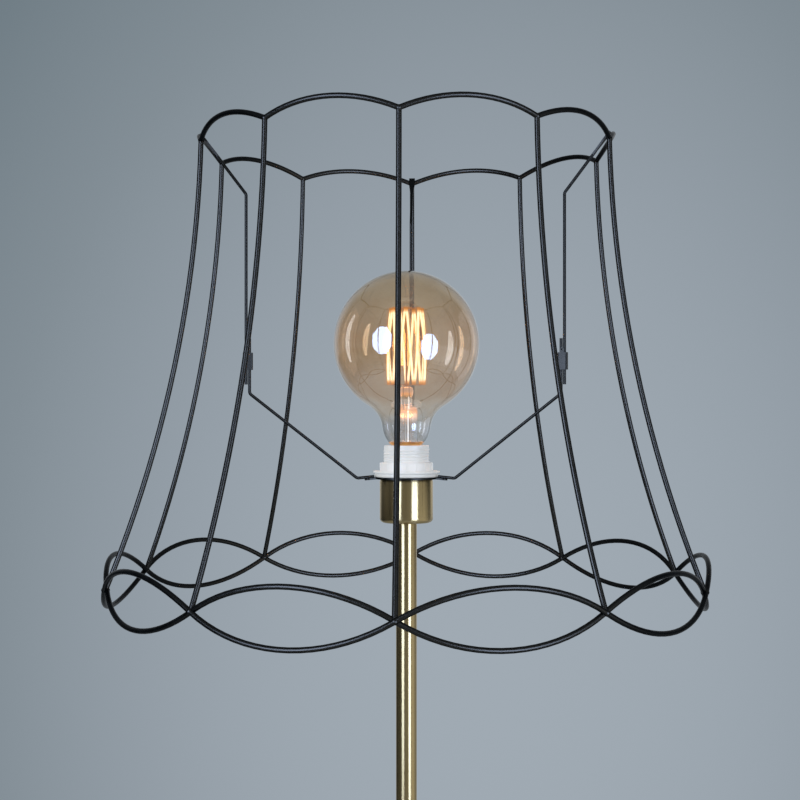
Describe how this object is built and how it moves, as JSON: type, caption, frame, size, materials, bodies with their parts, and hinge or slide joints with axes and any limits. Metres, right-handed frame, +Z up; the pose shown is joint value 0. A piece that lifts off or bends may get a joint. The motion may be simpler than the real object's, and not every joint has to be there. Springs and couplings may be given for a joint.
{
  "type": "floor lamp",
  "caption": "Floor lamp: round weighted base, slim tubular stem, screw holder with a large globe lamp, inside a bare bell-shaped wire shade frame with scalloped rims.",
  "frame": {"origin": "middle of the base's underside, on the floor", "axes": "+Z up along the stem; -Y to the front, towards the camera of the picture; +X to the viewer's right"},
  "size_m": [0.5132, 0.5158, 1.5953],
  "materials": {
    "stem_brass": "satin brushed along the stem, toned dark",
    "raw_brass": "plain turned or pressed brass",
    "plated_steel": "zinc plated",
    "iron": "rough cast, painted",
    "felt": "pressed felt",
    "bushing_plastic": "moulded, matt",
    "lead_jacket": "smooth cable jacket",
    "holder_plastic": "moulded, slight sheen",
    "ceramic": "glazed ceramic",
    "frame_black": "satin black powder coat",
    "amber_glass": "clear, tinted amber",
    "clear_glass": "clear",
    "cap_glass": "fused black glass",
    "solder": "tinned",
    "lamp_wire": "drawn wire",
    "filament": "glowing orange"
  },
  "bodies": {
    "stand": {"base_cover": "stem_brass", "base_weight": "iron", "base_pad": "felt", "base_washer": "plated_steel", "base_nut": "plated_steel", "base_nipple": "plated_steel", "cord_bushing": "bushing_plastic", "pole_lower": "stem_brass", "pole_middle": "stem_brass", "pole_upper": "stem_brass", "pole_bushes": "raw_brass", "pole_nipples": "plated_steel", "inner_lead": "lead_jacket", "holder_nipple": "plated_steel", "cup_nut": "plated_steel", "holder_cup": "stem_brass", "holder_cap": "holder_plastic", "holder_shell": "holder_plastic", "terminal_block": "ceramic", "terminal_screws": "plated_steel", "shell_contact": "raw_brass", "centre_contact": "raw_brass", "screw_shell": "raw_brass"},
    "shade_ring": {"shade_ring": "holder_plastic"},
    "carrier": {"carrier_ring": "frame_black", "arm_left": "frame_black", "arm_right": "frame_black", "arm_rear": "frame_black", "clip_left": "frame_black", "clip_right": "frame_black", "clip_rear": "frame_black"},
    "shade": {"top_ring": "frame_black", "wave_outer": "frame_black", "wave_inner": "frame_black", "rib_1": "frame_black", "rib_2": "frame_black", "rib_3": "frame_black", "rib_4": "frame_black", "rib_5": "frame_black", "rib_6": "frame_black", "rib_7": "frame_black", "rib_8": "frame_black", "rib_9": "frame_black", "rib_10": "frame_black", "drop_left": "frame_black", "drop_right": "frame_black", "drop_rear": "frame_black"},
    "globe": {"globe_glass": "amber_glass", "globe_cap": "raw_brass", "cap_insulator": "cap_glass", "cap_contact": "solder", "globe_stem": "clear_glass", "filament_supports": "lamp_wire", "filament": "filament", "lead_wires": "lamp_wire"}
  },
  "joints": [
    {"name": "shade_turn", "type": "hinge", "parent": "stand", "child": "carrier", "pos_m": [0, 0, 1.3], "axis": [0, 0, 1], "continuous": true},
    {"name": "shade_height", "type": "slide", "parent": "carrier", "child": "shade", "axis": [0, 0, 1], "range_m": [-0.11, 0.01]},
    {"name": "shade_ring_turn", "type": "hinge", "parent": "stand", "child": "shade_ring", "pos_m": [0, 0, 1.3076], "axis": [0, 0, 1], "range_deg": [0, 1080]},
    {"name": "globe_turn", "type": "hinge", "parent": "stand", "child": "globe", "pos_m": [0, 0, 1.302], "axis": [0, 0, 1], "range_deg": [0, 1080]}
  ]
}
